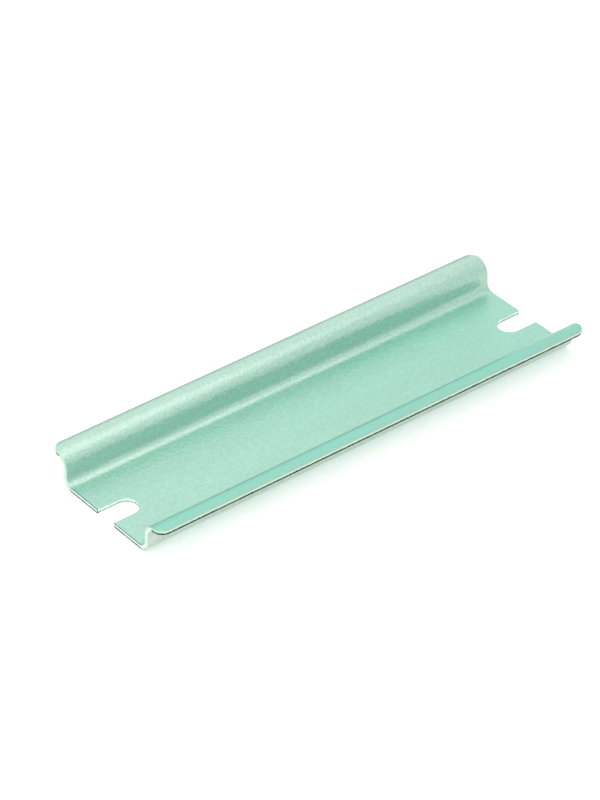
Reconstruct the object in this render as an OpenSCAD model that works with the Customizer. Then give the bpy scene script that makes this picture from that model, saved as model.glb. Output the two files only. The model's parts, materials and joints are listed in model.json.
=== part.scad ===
// Short piece of top-hat mounting rail, 35 mm wide and 7.5 mm high: one strip of
// zinc-plated steel rolled to a channel with two lips, its mouth upwards, and an
// open slot in the floor at each end for a fixing screw.
//
// X runs along the rail, Y across it and Z up. The origin is in the middle of the
// underside of the floor.

/* [Section] */
// Width over the two lips
rail_w = 35; // [33:0.5:45]
// Height from the underside of the floor to the top of the lips
rail_h = 7.5; // [7:0.5:15]
// Width over the outside of the two walls
base_w = 27; // [20:0.5:27.5]
// Thickness of the strip
strip_t = 1; // [0.6:0.1:1.4]
// Radius on the inner side of the bend between floor and wall
floor_bend_r = 1.8; // [0.4:0.1:2.2]
// Radius on the inner side of the bend between wall and lip
lip_bend_r = 2.2; // [0.4:0.1:2.8]

/* [Length] */
// Length of the piece
rail_l = 107; // [40:1:500]

/* [Ends] */
// Radius of the rounded corners of the lips, seen from above
lip_corner_r = 2.2; // [0.4:0.1:3]
// Width of the fixing slots
slot_w = 5.2; // [3:0.1:9]
// Depth of the fixing slots, from the end of the rail to the round tip
slot_depth = 7.5; // [5:0.1:15]

/* [Hidden] */
$fn = 96;

// how far a cut runs past the face that it opens
past = 1;
// radii on the outer side of the two bends
floor_outer_r = floor_bend_r + strip_t;
lip_outer_r = lip_bend_r + strip_t;
// where the arcs of the bends are centred, across the rail
floor_bend_y = base_w/2 - floor_outer_r;
lip_bend_y = base_w/2 + lip_bend_r;
// height at which the wall turns into the lip
wall_top_z = rail_h - lip_outer_r;
// distance of a slot's round tip's centre from the end of the rail
slot_centre = slot_depth - slot_w/2;

// A quarter of a ring as thick as the strip, in the corner between +x and +y
module strip_bend(inner_r) {
    outer_r = inner_r + strip_t;
    difference() {
        intersection() {
            circle(r = outer_r);
            square(outer_r);
        }
        circle(r = inner_r);
    }
}

// The strip from the middle of the floor to the edge of one lip
module half_section() {
    // floor
    square([floor_bend_y, strip_t]);
    translate([floor_bend_y, floor_outer_r]) rotate(-90) strip_bend(floor_bend_r);
    // wall
    translate([base_w/2 - strip_t, floor_outer_r])
        square([strip_t, wall_top_z - floor_outer_r]);
    // lip
    translate([lip_bend_y, wall_top_z]) rotate(90) strip_bend(lip_bend_r);
    translate([lip_bend_y, rail_h - strip_t])
        square([rail_w/2 - lip_bend_y, strip_t]);
}

module section() {
    half_section();
    mirror([1, 0]) half_section();
}

// The channel, drawn out along X
module channel() {
    rotate([90, 0, 90])
        linear_extrude(height = rail_l, center = true)
            section();
}

// What is cut away at the +X end for the fixing screw
module slot_cut() {
    translate([rail_l/2 - slot_centre, 0, -past])
        cylinder(d = slot_w, h = strip_t + 2*past);
    translate([rail_l/2 - slot_centre, -slot_w/2, -past])
        cube([slot_centre + past, slot_w, strip_t + 2*past]);
}

// What is cut away to round the lip's corner at +X, +Y
module corner_cut() {
    translate([rail_l/2 - lip_corner_r, rail_w/2 - lip_corner_r, wall_top_z - past])
        difference() {
            cube([lip_corner_r + past, lip_corner_r + past, lip_outer_r + 2*past]);
            cylinder(r = lip_corner_r, h = lip_outer_r + 2*past);
        }
}

module end_cuts() {
    slot_cut();
    corner_cut();
    mirror([0, 1, 0]) corner_cut();
}

module rail() {
    color("#b4d9c8")
        difference() {
            channel();
            end_cuts();
            mirror([1, 0, 0]) end_cuts();
        }
}

rail();
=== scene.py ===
# %% [markdown]
# # A short piece of top-hat mounting rail
#
# The real thing is one strip of steel, 1 mm thick. A line of rollers bends it, a little at
# each pair, into a channel with a lip on either side. Then a press cuts it to length, rounds
# the corners of the lips and punches an open slot into the floor at each end. Last of all
# it is plated with zinc.
#
# This lesson makes it in the same order: sweep the strip along the line of its section, trim
# it with one outline seen from above, punch the slots, soften the cut edges, and plate it.

# %% The frame that everything is fitted to
import json
import math

import bpy
from mathutils import Matrix, Vector


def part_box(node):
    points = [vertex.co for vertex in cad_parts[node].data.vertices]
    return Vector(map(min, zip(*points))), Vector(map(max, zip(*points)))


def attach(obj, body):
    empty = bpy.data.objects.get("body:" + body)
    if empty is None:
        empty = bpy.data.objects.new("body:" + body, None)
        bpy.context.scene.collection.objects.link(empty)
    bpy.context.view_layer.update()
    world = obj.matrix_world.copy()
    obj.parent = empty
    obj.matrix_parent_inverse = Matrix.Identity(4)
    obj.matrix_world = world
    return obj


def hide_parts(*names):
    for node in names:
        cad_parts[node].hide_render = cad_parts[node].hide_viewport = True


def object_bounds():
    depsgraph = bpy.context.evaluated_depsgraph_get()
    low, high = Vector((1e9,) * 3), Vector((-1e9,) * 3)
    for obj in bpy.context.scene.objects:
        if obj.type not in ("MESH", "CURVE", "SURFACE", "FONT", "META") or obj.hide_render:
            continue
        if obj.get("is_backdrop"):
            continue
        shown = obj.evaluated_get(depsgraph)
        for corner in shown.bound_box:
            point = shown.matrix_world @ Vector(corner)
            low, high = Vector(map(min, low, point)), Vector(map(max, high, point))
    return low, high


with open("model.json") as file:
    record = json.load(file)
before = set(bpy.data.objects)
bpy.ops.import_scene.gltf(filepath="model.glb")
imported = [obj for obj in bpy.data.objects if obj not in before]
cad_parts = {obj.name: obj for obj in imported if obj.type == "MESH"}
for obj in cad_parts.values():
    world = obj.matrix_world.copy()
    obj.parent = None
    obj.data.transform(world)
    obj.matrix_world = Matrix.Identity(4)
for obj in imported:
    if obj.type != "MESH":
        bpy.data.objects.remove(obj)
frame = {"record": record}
cad_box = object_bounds()
low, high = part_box("rail")
size = high - low
print("rail, mm:", [round(v * 1000, 2) for v in size])

# %% [markdown]
# ## Sizes
#
# The length, width and height come from the frame. The press's slot is one of the part's
# fixing points, so its radius, its place and the thickness of the floor are read from there.
# What is left is the shape of the section and the radius of the lips' corners.

# %% Sizes, in metres
MM = 0.001
mounts = {mount["name"]: mount for mount in frame["record"]["mounts"]}
slot = mounts["slot_right"]
strip = slot["dims"]["length_mm"] * MM
slot_width = 2 * slot["dims"]["r_mm"] * MM
slot_depth = high.x - slot["pos_m"][0] + slot_width / 2
base_width = 27 * MM
floor_bend = 1.8 * MM
lip_bend = 2.2 * MM
lip_corner = 2.2 * MM
# how far from the middle the lips are already flat on their underside
lip_flat = 14.6 * MM
print("strip, slot, mm:", round(strip / MM, 2), round(slot_width / MM, 2), round(slot_depth / MM, 2))

# %% [markdown]
# ## Two small helpers
#
# Colours are easiest to read as the hex values that a paint program shows. Those are sRGB,
# and shaders want linear light, so one function turns one into the other. The second helper
# adds a node, sets its options and fills its inputs with plain values or with links.


# %% Helpers
def linear(code):
    """A colour such as "8fb4a6" as linear red, green, blue and alpha."""
    values = []
    for start in (0, 2, 4):
        s = int(code[start : start + 2], 16) / 255
        values.append(s / 12.92 if s <= 0.04045 else ((s + 0.055) / 1.055) ** 2.4)
    return (*values, 1.0)


def add(tree, kind, inputs=None, **settings):
    """Adds a node to tree. inputs maps a socket's name or number to a value or a link."""
    node = tree.nodes.new(kind)
    for name, value in settings.items():
        setattr(node, name, value)
    for name, value in (inputs or {}).items():
        if isinstance(value, bpy.types.NodeSocket):
            tree.links.new(value, node.inputs[name])
        else:
            node.inputs[name].default_value = value
    return node


print("mid grey in linear light:", [round(v, 3) for v in linear("808080")])

# %% [markdown]
# ## The camera
#
# A small part like this looks best from well back through a long lens, which leaves its far
# end hardly smaller than its near one. The camera stands 36 degrees above the table and looks
# along the rail at a slant. Turning it about the vertical, then tilting it, then rolling it
# keeps the three angles apart, so each one can be set by itself.

# %% Camera
camera_turn = math.radians(-38.84)
camera_tilt = math.radians(53.73)
camera_roll = math.radians(0.29)
camera_distance = 0.7474
camera_aim = Vector((-0.0025, 0.0045, 0.0026))

camera_data = bpy.data.cameras.new("camera")
camera_data.sensor_width = 36
camera_data.lens = 170.24
camera_data.clip_start = 0.01
camera = bpy.data.objects.new("camera", camera_data)
bpy.context.scene.collection.objects.link(camera)
turned = Matrix.Rotation(camera_turn, 4, "Z") @ Matrix.Rotation(camera_tilt, 4, "X")
turned = turned @ Matrix.Rotation(camera_roll, 4, "Z")
camera.matrix_world = (
    Matrix.Translation(camera_aim) @ turned @ Matrix.Translation((0, 0, camera_distance))
)
bpy.context.scene.camera = camera
bpy.context.scene.view_settings.view_transform = "Standard"
print("camera at:", [round(v, 3) for v in camera.matrix_world.translation])

# %% [markdown]
# ## The rolled strip
#
# Every cut across the rail is the same, so it is a sweep: a rectangle as wide as the rail is
# long and as thick as the strip is carried along the middle line of the section, from the
# edge of one lip to the edge of the other. Geometry Nodes can draw that line with six points
# and round its four corners, which is just what the rollers do.
#
# It could be extruded from a drawn outline too, but then the inner and the outer arc of each
# bend would have to be kept in step by hand. A sweep keeps the strip equally thick in every
# bend by itself.

# %% The tree and its inputs
tree = bpy.data.node_groups.new("rolled_rail", "GeometryNodeTree")
tree.interface.new_socket("Geometry", in_out="OUTPUT", socket_type="NodeSocketGeometry")
rail_sizes = {
    "Length": size.x,
    "Width": size.y,
    "Height": size.z,
    "Base width": base_width,
    "Strip": strip,
    "Floor bend": floor_bend,
    "Lip bend": lip_bend,
    "Lip corner": lip_corner,
    "Slot width": slot_width,
    "Slot depth": slot_depth,
}
for name in rail_sizes:
    tree.interface.new_socket(name, in_out="INPUT", socket_type="NodeSocketFloat")
for name in ("Plating", "Cut face"):
    tree.interface.new_socket(name, in_out="INPUT", socket_type="NodeSocketMaterial")
given = add(tree, "NodeGroupInput").outputs
print("inputs:", [socket.name for socket in given if socket.name])

# %% [markdown]
# The six points of the middle line are numbered from one lip to the other. Counted from the
# middle, they are -2.5, -1.5, -0.5, 0.5, 1.5 and 2.5: the two in the middle lie in the floor,
# the outer two are the ends of the lips, and the sign says which side they are on. The strip
# is swept 2 mm too long and too wide, and the press then trims it.
#
# All the sums that the tree needs stand in one table, each with its name, what is done, and
# the two values it is done with. A value is a number, an input or an earlier sum.

# %% The sums
spare = 2 * MM
sums = {name: given[name] for name in rail_sizes}
sums["Index"] = add(tree, "GeometryNodeInputIndex").outputs[0]
for name, operation, first, second in (
    ("From middle", "SUBTRACT", "Index", 2.5),
    ("Side", "SIGN", "From middle", 0.0),
    ("Apart", "ABSOLUTE", "From middle", 0.0),
    ("Is end", "GREATER_THAN", "Apart", 2.0),
    ("Is floor", "LESS_THAN", "Apart", 1.0),
    ("Half strip", "MULTIPLY", "Strip", 0.5),
    ("Half base", "MULTIPLY", "Base width", 0.5),
    ("Wall y", "SUBTRACT", "Half base", "Half strip"),
    ("Half width", "MULTIPLY", "Width", 0.5),
    ("End y", "ADD", "Half width", spare),
    ("Lip z", "SUBTRACT", "Height", "Half strip"),
    ("Lip radius", "ADD", "Lip bend", "Half strip"),
    ("Floor radius", "ADD", "Floor bend", "Half strip"),
    ("Long side", "ADD", "Length", spare),
    ("Slot radius", "MULTIPLY", "Slot width", 0.5),
    ("Slot length", "MULTIPLY", "Slot depth", 2.0),
    ("Left end", "MULTIPLY", "Length", -0.5),
    ("Right end", "MULTIPLY", "Length", 0.5),
):
    values = {0: sums.get(first, first), 1: sums.get(second, second)}
    sums[name] = add(tree, "ShaderNodeMath", values, operation=operation).outputs[0]

for name, switch, if_not, if_so in (
    ("Distance", "Is end", "Wall y", "End y"),
    ("Line z", "Is floor", "Lip z", "Half strip"),
    ("Bend radius", "Is floor", "Lip radius", "Floor radius"),
):
    values = {"Switch": sums[switch], "False": sums[if_not], "True": sums[if_so]}
    sums[name] = add(tree, "GeometryNodeSwitch", values, input_type="FLOAT").outputs[0]
print("sums:", ", ".join(sums))

# %% The middle line of the section
values = {0: sums["Side"], 1: sums["Distance"]}
line_y = add(tree, "ShaderNodeMath", values, operation="MULTIPLY").outputs[0]
line_at = add(tree, "ShaderNodeCombineXYZ", {"Y": line_y, "Z": sums["Line z"]}).outputs[0]
points = add(tree, "GeometryNodeMeshLine", {"Count": 6}).outputs[0]
placed = add(tree, "GeometryNodeSetPosition", {"Geometry": points, "Position": line_at})
corners = add(tree, "GeometryNodeMeshToCurve", {"Mesh": placed.outputs[0]}).outputs[0]

bend_steps = 16
values = {"Curve": corners, "Count": bend_steps, "Radius": sums["Bend radius"]}
section_line = add(tree, "GeometryNodeFilletCurve", values, mode="POLY").outputs[0]
print("each bend turns", 90 / bend_steps, "degrees at a step")

# %% The sweep
values = {"Width": sums["Long side"], "Height": given["Strip"]}
cross_cut = add(tree, "GeometryNodeCurvePrimitiveQuadrilateral", values).outputs[0]
values = {"Curve": section_line, "Profile Curve": cross_cut, "Fill Caps": True}
swept = add(tree, "GeometryNodeCurveToMesh", values).outputs[0]
values = {"Geometry": swept, "Material": given["Plating"]}
rolled = add(tree, "GeometryNodeSetMaterial", values).outputs[0]
print("swept rectangle, mm:", round((size.x + spare) / MM, 2), "by", round(strip / MM, 2))

# %% [markdown]
# ## What the press cuts
#
# Seen from above, the finished piece is a plain rectangle with rounded corners. Keeping only
# what lies inside that outline trims both ends and both lips in one go. The slots are long
# holes centred on the very ends of the rail, so one half of each falls outside and the other
# half leaves a slot with a round tip.
#
# Every cut face of the result is a piece of the tool's own surface, and a face keeps its
# material through a Boolean. So the strip goes in with the plating's material and the tools
# with that of a cut face, and each face comes out with the right one.

# %% Press tools
press_height = 20 * MM
values = {"Start": (0, 0, -press_height), "End": (0, 0, press_height)}
tool_line = add(tree, "GeometryNodeCurvePrimitiveLine", values).outputs[0]


def press_tool(width, height, corner, steps):
    """A tall block with a rounded outline, standing on the origin."""
    sides = {"Width": width, "Height": height}
    outline = add(tree, "GeometryNodeCurvePrimitiveQuadrilateral", sides).outputs[0]
    rounding = {"Curve": outline, "Count": steps, "Radius": corner, "Limit Radius": True}
    rounded = add(tree, "GeometryNodeFilletCurve", rounding, mode="POLY").outputs[0]
    sweep = {"Curve": tool_line, "Profile Curve": rounded, "Fill Caps": True}
    block = add(tree, "GeometryNodeCurveToMesh", sweep).outputs[0]
    marked = {"Geometry": block, "Material": given["Cut face"]}
    return add(tree, "GeometryNodeSetMaterial", marked).outputs[0]


corner_steps = 16
tip_steps = 20
trim = press_tool(given["Length"], given["Width"], given["Lip corner"], corner_steps)
punch = press_tool(sums["Slot length"], given["Slot width"], sums["Slot radius"], tip_steps)
print("punch, mm:", round(2 * slot_depth / MM, 2), "by", round(slot_width / MM, 2))

# %% Trimming and punching
trimmed = add(tree, "GeometryNodeMeshBoolean", operation="INTERSECT", solver="EXACT")
tree.links.new(rolled, trimmed.inputs["Mesh 2"])
tree.links.new(trim, trimmed.inputs["Mesh 2"])

values = {"Mesh 1": trimmed.outputs[0]}
punched = add(
    tree, "GeometryNodeMeshBoolean", values, operation="DIFFERENCE", solver="EXACT"
)
for end in ("Left end", "Right end"):
    place = add(tree, "ShaderNodeCombineXYZ", {"X": sums[end]}).outputs[0]
    moved = add(tree, "GeometryNodeTransform", {"Geometry": punch, "Translation": place})
    tree.links.new(moved.outputs[0], punched.inputs["Mesh 2"])

real = add(tree, "GeometryNodeRealizeInstances", {"Geometry": punched.outputs[0]}).outputs[0]
is_cut = add(tree, "GeometryNodeMaterialSelection", {"Material": given["Cut face"]}).outputs[0]
values = {"Geometry": real, "Selection": is_cut, "Material": given["Cut face"]}
dressed = add(tree, "GeometryNodeSetMaterial", values).outputs[0]
add(tree, "NodeGroupOutput", {"Geometry": dressed})
print("nodes in the tree:", len(tree.nodes))

# %% [markdown]
# ## Zones and grains
#
# Both materials need two things. One is a zone: a mask that says where on the rail a colour
# belongs, by limits along its axes. The other is grain: noise with a real width in
# millimetres. Noise keeps close to its middle, so a second output spreads it from 0 to 1.
#
# The crystals of real zinc plating are some thousandths of a millimetre wide, and the tears
# in sheared steel are fine too. Neither would show, so the grain is drawn much coarser, at
# 0.4 mm, which is about as fine as still shows. The clouds' width is chosen.


# %% Zones and grains
grain_width = 0.4 * MM
cloud_width = 6 * MM


def zone(shade, axes, limits):
    """1 where every axis in limits is past its second value, in mm, and 0 before its first."""
    mask = 1.0
    for axis, start, end in limits:
        values = {"Value": axes[axis], "From Min": start * MM, "From Max": end * MM}
        step = add(shade, "ShaderNodeMapRange", values, interpolation_type="SMOOTHSTEP")
        values = {0: mask, 1: step.outputs[0]}
        mask = add(shade, "ShaderNodeMath", values, operation="MULTIPLY").outputs[0]
    return mask


def grains(shade, where, across, stretch, detail, roughness, spread):
    """Noise with grains of a width in metres, longer along the rail, plain and spread."""
    at = add(shade, "ShaderNodeMapping", {"Vector": where, "Scale": (1 / stretch, 1, 1)})
    values = {"Vector": at.outputs[0], "Scale": 1 / across, "Detail": detail}
    values["Roughness"] = roughness
    plain = add(shade, "ShaderNodeTexNoise", values).outputs[0]
    values = {"Value": plain, "From Min": 0.5 - spread, "From Max": 0.5 + spread}
    full = add(shade, "ShaderNodeMapRange", values, interpolation_type="SMOOTHSTEP")
    return plain, full.outputs[0]


rail_end = high.x / MM
print("grain, mm:", round(grain_width / MM, 2), "and the rail ends at", round(rail_end, 2))

# %% [markdown]
# ## The plating
#
# Bright zinc goes on in a bath, a few thousandths of a millimetre thick, over steel that
# was only cold rolled. Its crystals are too small to see one by one, but together they give
# a satin, slightly speckled gloss. Then a passivation bath leaves a film on the zinc, here
# of a pale mint green.
#
# The film is glassy: some light comes back from inside it, some from the metal below, and
# some from its own surface, uncoloured. So Metallic stays well below 1, and a Coat with a
# high index, as metal oxides have, gives the white in the highlights. With Metallic at 1,
# the wall that mirrors the floor would take the green twice and come out far too strong.
#
# The colour differs from place to place. It is paler on the far side, partly as a painted
# highlight that whitens the bright lines along the far bends, and deeper on the near lip, with
# painted shade along that lip's bend. The edges of the lips are greyer, the outside of the near
# wall takes a painted reflection of the white table, and a line of painted shade runs along
# the far lip's edge. Slow clouds follow the rolling direction, and fine grain mottles the whole.


# %% Zinc plating
def zinc_plating():
    """Zinc plating under a thin film: satin, speckled mint that turns white where it shines, with
    painted light and shade in places.
    """
    material = bpy.data.materials.new("zinc_plated_steel")
    material.use_nodes = True
    shade = material.node_tree
    shade.nodes.clear()
    where = add(shade, "ShaderNodeTexCoord").outputs["Object"]
    axes = dict(add(shade, "ShaderNodeSeparateXYZ", {"Vector": where}).outputs.items())
    edge = add(shade, "ShaderNodeMath", {0: axes["Y"]}, operation="ABSOLUTE")
    axes["Edge"] = edge.outputs[0]

    near_lip = [("Z", 5.5, 6.8), ("Y", -11.8, -13.5)]
    film_and_painted_light = linear("86ceb9")
    for colour, limits in (
        # stronger towards the right end
        ("74ceb4", [("X", -rail_end, rail_end)]),
        # paler on the far side, partly a painted highlight that whitens the far bends
        ("9cd1be", [("Y", 9.0, 12.5)]),
        # deeper and darker green on the near lip
        ("24c0a4", near_lip),
        # painted shade: darker still along the near lip's bend
        ("18a892", [*near_lip, ("Y", -15.0, -14.2)]),
        # greyer along both lips' edges
        ("62b09a", [("Edge", 16.3, 17.3)]),
        # painted reflection of the white table: pale on the outside of the near wall
        ("c6dccb", [("Y", -12.4, -13.2), ("Z", 6.4, 5.6)]),
        # painted shade: a dark line along the far lip's outer edge
        ("4c6058", [("Y", 17.15, 17.3)]),
    ):
        values = {"Factor": zone(shade, axes, limits), 6: film_and_painted_light, 7: linear(colour)}
        film_and_painted_light = add(shade, "ShaderNodeMix", values, data_type="RGBA").outputs[2]

    cloud_depth = 0.12
    clouds = grains(shade, where, cloud_width, 4.0, 2.0, 0.5, 0.2)[1]
    values = {"Factor": cloud_depth, 6: film_and_painted_light, 7: linear("6f9c8c")}
    clouded = add(shade, "ShaderNodeMix", values, data_type="RGBA").outputs[2]
    values = {"Factor": clouds, 6: film_and_painted_light, 7: clouded}
    film_and_painted_light = add(shade, "ShaderNodeMix", values, data_type="RGBA").outputs[2]

    grain_depth = 0.32
    grain, dots = grains(shade, where, grain_width, 1.2, 1.0, 0.6, 0.2)
    values = {"Factor": grain_depth, 6: film_and_painted_light, 7: linear("5f8a7a")}
    dotted = add(shade, "ShaderNodeMix", values, data_type="RGBA").outputs[2]
    values = {"Factor": dots, 6: dotted, 7: film_and_painted_light}
    tint = add(shade, "ShaderNodeMix", values, data_type="RGBA").outputs[2]

    # the crystals tilt the surface a little and make it glossier in some places
    values = {"Value": dots, "To Min": 0.28, "To Max": 0.42}
    gloss = add(shade, "ShaderNodeMapRange", values).outputs[0]
    values = {"Height": grain, "Strength": 1.0, "Distance": 0.09 * MM}
    relief = add(shade, "ShaderNodeBump", values).outputs[0]
    values = {"Base Color": tint, "Metallic": 0.3, "Roughness": gloss, "Normal": relief}
    values.update({"Coat Weight": 1.0, "Coat Roughness": 0.3, "Coat IOR": 2.3})
    values["Coat Normal"] = relief
    surface = add(shade, "ShaderNodeBsdfPrincipled", values).outputs[0]
    add(shade, "ShaderNodeOutputMaterial", {"Surface": surface})
    return material


zinc = zinc_plating()
print(zinc.name, "has", len(zinc.node_tree.nodes), "nodes")

# %% [markdown]
# ## The sheared faces
#
# A press shears the strip: the first part of each cut face is burnished bright, and the last
# part tears and leaves a fine burr. Here a cut face is pale, partly as a painted highlight for
# the light it catches. A dark band at the bottom of the cut faces and dark lines along some
# arrises stand for the torn part and the burr, and are also painted shadow under the lips'
# edges and painted shade along the floor's ends. They are hardly wider than a hair, but they
# draw the outlines of the rail, so they matter.


# %% Sheared faces
def sheared_steel(name, dark, light, torn_and_shadow_height):
    """Cut steel, pale or dark by its colours; the last argument is the height in mm of the dark torn
    band at the bottom, which is also painted shadow.
    """
    material = bpy.data.materials.new(name)
    material.use_nodes = True
    shade = material.node_tree
    shade.nodes.clear()
    where = add(shade, "ShaderNodeTexCoord").outputs["Object"]
    tears, tears_spread = grains(shade, where, grain_width, 1.0, 2.0, 0.6, 0.15)
    values = {"Factor": tears_spread, 6: linear(dark), 7: linear(light)}
    colour = add(shade, "ShaderNodeMix", values, data_type="RGBA").outputs[2]
    if torn_and_shadow_height:
        axes = dict(add(shade, "ShaderNodeSeparateXYZ", {"Vector": where}).outputs.items())
        for axis, source in (("End", "X"), ("Edge", "Y")):
            away = add(shade, "ShaderNodeMath", {0: axes[source]}, operation="ABSOLUTE")
            axes[axis] = away.outputs[0]
        # the dark band's upper limit runs up and down
        ragged = add(shade, "ShaderNodeMath", {0: tears, 1: 0.5}, operation="SUBTRACT")
        values = {0: ragged.outputs[0], 1: torn_and_shadow_height * MM, 2: axes["Z"]}
        ragged_z = add(shade, "ShaderNodeMath", values, operation="MULTIPLY_ADD")
        axes["Ragged Z"] = ragged_z.outputs[0]

        # painted shadow along the floor's ends: darkest at the rail's ends, half as dark in the
        # slots
        at_end = zone(shade, axes, [("End", rail_end - 0.4, rail_end - 0.2)])
        values = {"Value": at_end, "To Min": 0.5, "To Max": 1.0}
        darkness = add(shade, "ShaderNodeMapRange", values).outputs[0]
        under_floor = zone(shade, axes, [("Ragged Z", torn_and_shadow_height * 0.9, torn_and_shadow_height * 0.7)])
        values = {0: under_floor, 1: darkness}
        under_floor = add(shade, "ShaderNodeMath", values, operation="MULTIPLY").outputs[0]

        lip_limits = [("Edge", lip_flat / MM, lip_flat / MM + 0.4)]
        values = {"Factor": zone(shade, axes, lip_limits), 6: colour, 7: linear("bce0cd")}
        colour = add(shade, "ShaderNodeMix", values, data_type="RGBA").outputs[2]
        # painted shadow: the same dark band along the bottom of the lips' edges
        underside = (size.z - strip) / MM
        lip_limits.append(("Ragged Z", underside + torn_and_shadow_height * 1.1, underside + torn_and_shadow_height * 0.9))
        values = {0: under_floor, 1: zone(shade, axes, lip_limits)}
        both = add(shade, "ShaderNodeMath", values, operation="MAXIMUM").outputs[0]
        values = {"Factor": both, 6: colour, 7: linear("0c2a1c")}
        colour = add(shade, "ShaderNodeMix", values, data_type="RGBA").outputs[2]
    values = {"Base Color": colour, "Metallic": 0.5, "Roughness": 0.45}
    surface = add(shade, "ShaderNodeBsdfPrincipled", values).outputs[0]
    add(shade, "ShaderNodeOutputMaterial", {"Surface": surface})
    return material


# pale, partly a painted highlight, with a dark band below: torn steel and painted shadow
cut_face = sheared_steel("sheared_zinc", "c8e6da", "dcf4ea", 0.42)
# a dark thread along some arrises: part burr, part painted shade
burr_and_painted_shade = sheared_steel("burr_and_painted_shade", "12261c", "345044", 0)
print("cut faces:", cut_face.name, "and", burr_and_painted_shade.name)

# %% [markdown]
# ## Making the mesh
#
# The tree runs on an empty mesh, and the result is copied to a plain one. Then a Bevel rounds
# every edge that turns by more than 40 degrees, which are just the ones that the press made:
# the bends turn a few degrees at a time. It is wider than on a real rail, so that it shows.
# Weighted normals keep the long flat faces flat beside it.
#
# The bevel's own faces get the dark burr material, which is also painted shade. It is kept only
# along the ends of the floor and under the edges of the lips, where the press tore through.
# Anywhere else they go back to plating.


# %% Rail
def applied(piece):
    """Turns a piece and its modifiers into a plain mesh."""
    bpy.context.view_layer.update()
    evaluated = piece.evaluated_get(bpy.context.evaluated_depsgraph_get())
    mesh = bpy.data.meshes.new_from_object(evaluated)
    piece.modifiers.clear()
    piece.data = mesh
    return mesh


rail = bpy.data.objects.new("rolled_rail", bpy.data.meshes.new("rolled_rail"))
bpy.context.scene.collection.objects.link(rail)
roll = rail.modifiers.new("roll", "NODES")
roll.node_group = tree
inputs = {**rail_sizes, "Plating": zinc, "Cut face": cut_face}
for item in tree.interface.items_tree:
    if item.in_out == "INPUT":
        roll[item.identifier] = inputs[item.name]
pressed = applied(rail)
pressed.materials.append(burr_and_painted_shade)
print("pressed:", len(pressed.polygons), "faces")

# %% Softened edges and burr
soften_width = 0.28 * MM
soften = rail.modifiers.new("soften", "BEVEL")
soften.width = soften_width
soften.segments = 2
soften.limit_method = "ANGLE"
soften.angle_limit = math.radians(40)
soften.material = len(pressed.materials) - 1
evened = rail.modifiers.new("evened", "WEIGHTED_NORMAL")
evened.keep_sharp = True
finished = applied(rail)
finished.name = "rolled_rail"

zinc_index, burr_and_painted_shade_index = (list(finished.materials).index(m) for m in (zinc, burr_and_painted_shade))
# keep the dark burr colour, also painted shade, only at the floor's ends and under the lips
for face in finished.polygons:
    x, y, z = face.center
    floor_end = abs(x) > high.x - soften_width and z < strip * 1.1
    under_lip = abs(y) > lip_flat and z < high.z - strip * 0.6
    if face.material_index == burr_and_painted_shade_index and not (floor_end or under_lip):
        face.material_index = zinc_index
with_burr_and_painted_shade = sum(face.material_index == burr_and_painted_shade_index for face in finished.polygons)
print("rail faces:", len(finished.polygons), "of which burr:", with_burr_and_painted_shade)

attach(rail, "root")
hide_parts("rail")

# %% [markdown]
# ## Table, backdrop and light
#
# Satin metal looks like what stands round it, blurred. The table and the room are white, for
# the eye and for reflections alike. Light Path tells those rays from the ones that only
# bring light, so the background can be white without pouring more light on the rail, and
# the table keeps its soft shadow.


# %% Table
table_reach = 3.0
# what the paper adds to its own light, for the eye only, to come out plain white
table_lift = 0.35


def seen_directly(shade):
    """1 for a ray from the camera, or from it by way of a reflection or glass."""
    path = add(shade, "ShaderNodeLightPath").outputs
    first = {0: path["Is Camera Ray"], 1: path["Is Glossy Ray"]}
    either = add(shade, "ShaderNodeMath", first, operation="MAXIMUM").outputs[0]
    second = {0: either, 1: path["Is Transmission Ray"]}
    return add(shade, "ShaderNodeMath", second, operation="MAXIMUM").outputs[0]


def white_table():
    """Matt white paper: it takes the rail's soft shadow and otherwise vanishes."""
    material = bpy.data.materials.new("white_table")
    material.use_nodes = True
    shade = material.node_tree
    shade.nodes.clear()
    matt = add(shade, "ShaderNodeBsdfDiffuse", {"Color": linear("f4f4f4")}).outputs[0]
    values = {0: seen_directly(shade), 1: table_lift}
    lift = add(shade, "ShaderNodeMath", values, operation="MULTIPLY").outputs[0]
    glow = add(shade, "ShaderNodeEmission", {"Strength": lift}).outputs[0]
    both = add(shade, "ShaderNodeAddShader", {0: matt, 1: glow}).outputs[0]
    add(shade, "ShaderNodeOutputMaterial", {"Surface": both})
    return material


table_corners = [(-1, -1), (1, -1), (1, 1), (-1, 1)]
table_points = [(x * table_reach, y * table_reach, low.z) for x, y in table_corners]
table_mesh = bpy.data.meshes.new("table")
table_mesh.from_pydata(table_points, [], [(0, 1, 2, 3)])
table_mesh.materials.append(white_table())
table = bpy.data.objects.new("table", table_mesh)
bpy.context.scene.collection.objects.link(table)
table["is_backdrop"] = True
print("table at height:", round(low.z, 4))

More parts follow.
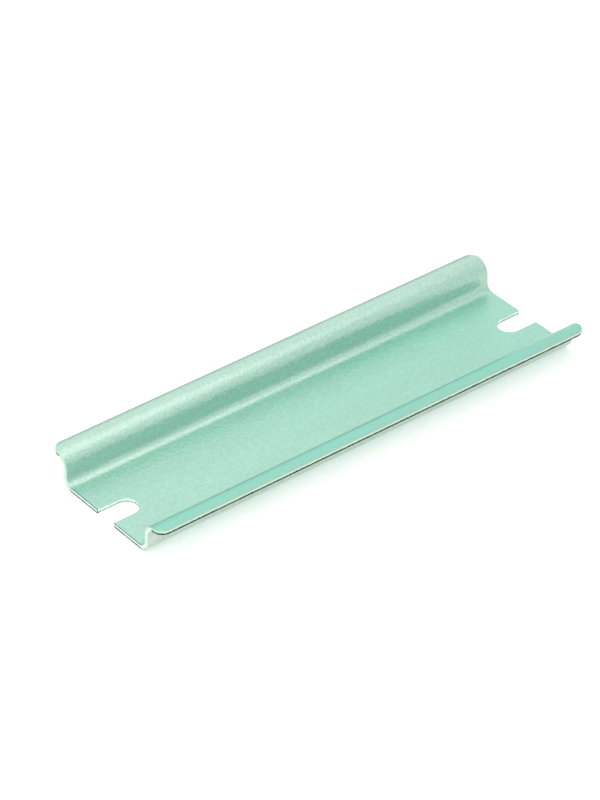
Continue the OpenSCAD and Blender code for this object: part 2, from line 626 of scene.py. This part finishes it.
# %% [markdown]
# ## Lamps
#
# The bends show where the lamps are. A surface that curves from level to upright sends the
# view round from the far side of the room, over the top, to the near side, so one soft lamp
# close above and a little to the left draws one broad bright line along each bend. Because
# it hangs so low, the line fades towards the right. It is a little warm, which takes the
# green out of the highlights. A weaker lamp behind lights the level faces, and a third, in
# front on the left, the cut faces.


# %% Lamps and room
def soft_lamp(name, place, width, depth, level, colour=(1.0, 1.0, 1.0)):
    """A rectangular lamp that looks at the rail; level is its brightness beside plain white."""
    data = bpy.data.lights.new(name, "AREA")
    data.shape = "RECTANGLE"
    data.size = width
    data.size_y = depth
    data.energy = level * math.pi * width * depth
    data.color = colour
    lamp = bpy.data.objects.new(name, data)
    lamp.location = place
    lamp.rotation_euler = Vector(place).to_track_quat("Z", "Y").to_euler()
    lamp.visible_camera = False
    bpy.context.scene.collection.objects.link(lamp)
    print(name, "lamp:", round(data.energy, 3), "W")


warm_white = (1.0, 0.89, 0.82)
soft_lamp("above", (-0.03, -0.033, 0.2), 0.26, 0.35, 1.17, warm_white)
soft_lamp("behind", (0.6, 0.75, 0.72), 0.7, 0.7, 0.3)
soft_lamp("front left", (-0.6, -0.75, 0.35), 0.6, 0.4, 2.5)

world = bpy.data.worlds.new("room")
bpy.context.scene.world = world
world.use_nodes = True
room = world.node_tree
room.nodes.clear()
room_light = 0.6
room_seen = 1.0
values = {"Factor": seen_directly(room), "A": room_light, "B": room_seen}
brightness = add(room, "ShaderNodeMix", values)
white = {"Color": (1, 1, 1, 1), "Strength": brightness.outputs[0]}
background = add(room, "ShaderNodeBackground", white).outputs[0]
add(room, "ShaderNodeOutputWorld", {"Surface": background})
print("the room lights with", room_light, "and is seen as", room_seen)

# %% [markdown]
# ## Does it still fit?
#
# The rail must fill the frame's box exactly, because other parts are made to clip on to it.
# The softened edges take away a little of each corner, but nothing of the flat faces, so the
# two boxes should be equal to far less than a hundredth of a millimetre.

# %% The finished rail against the frame
boxes = {"cad": cad_box, "visual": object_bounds()}
gaps = [(Vector(a) - Vector(b)).length for a, b in zip(boxes["cad"], boxes["visual"])]
print("largest gap between the boxes, mm:", round(max(gaps) / MM, 4))
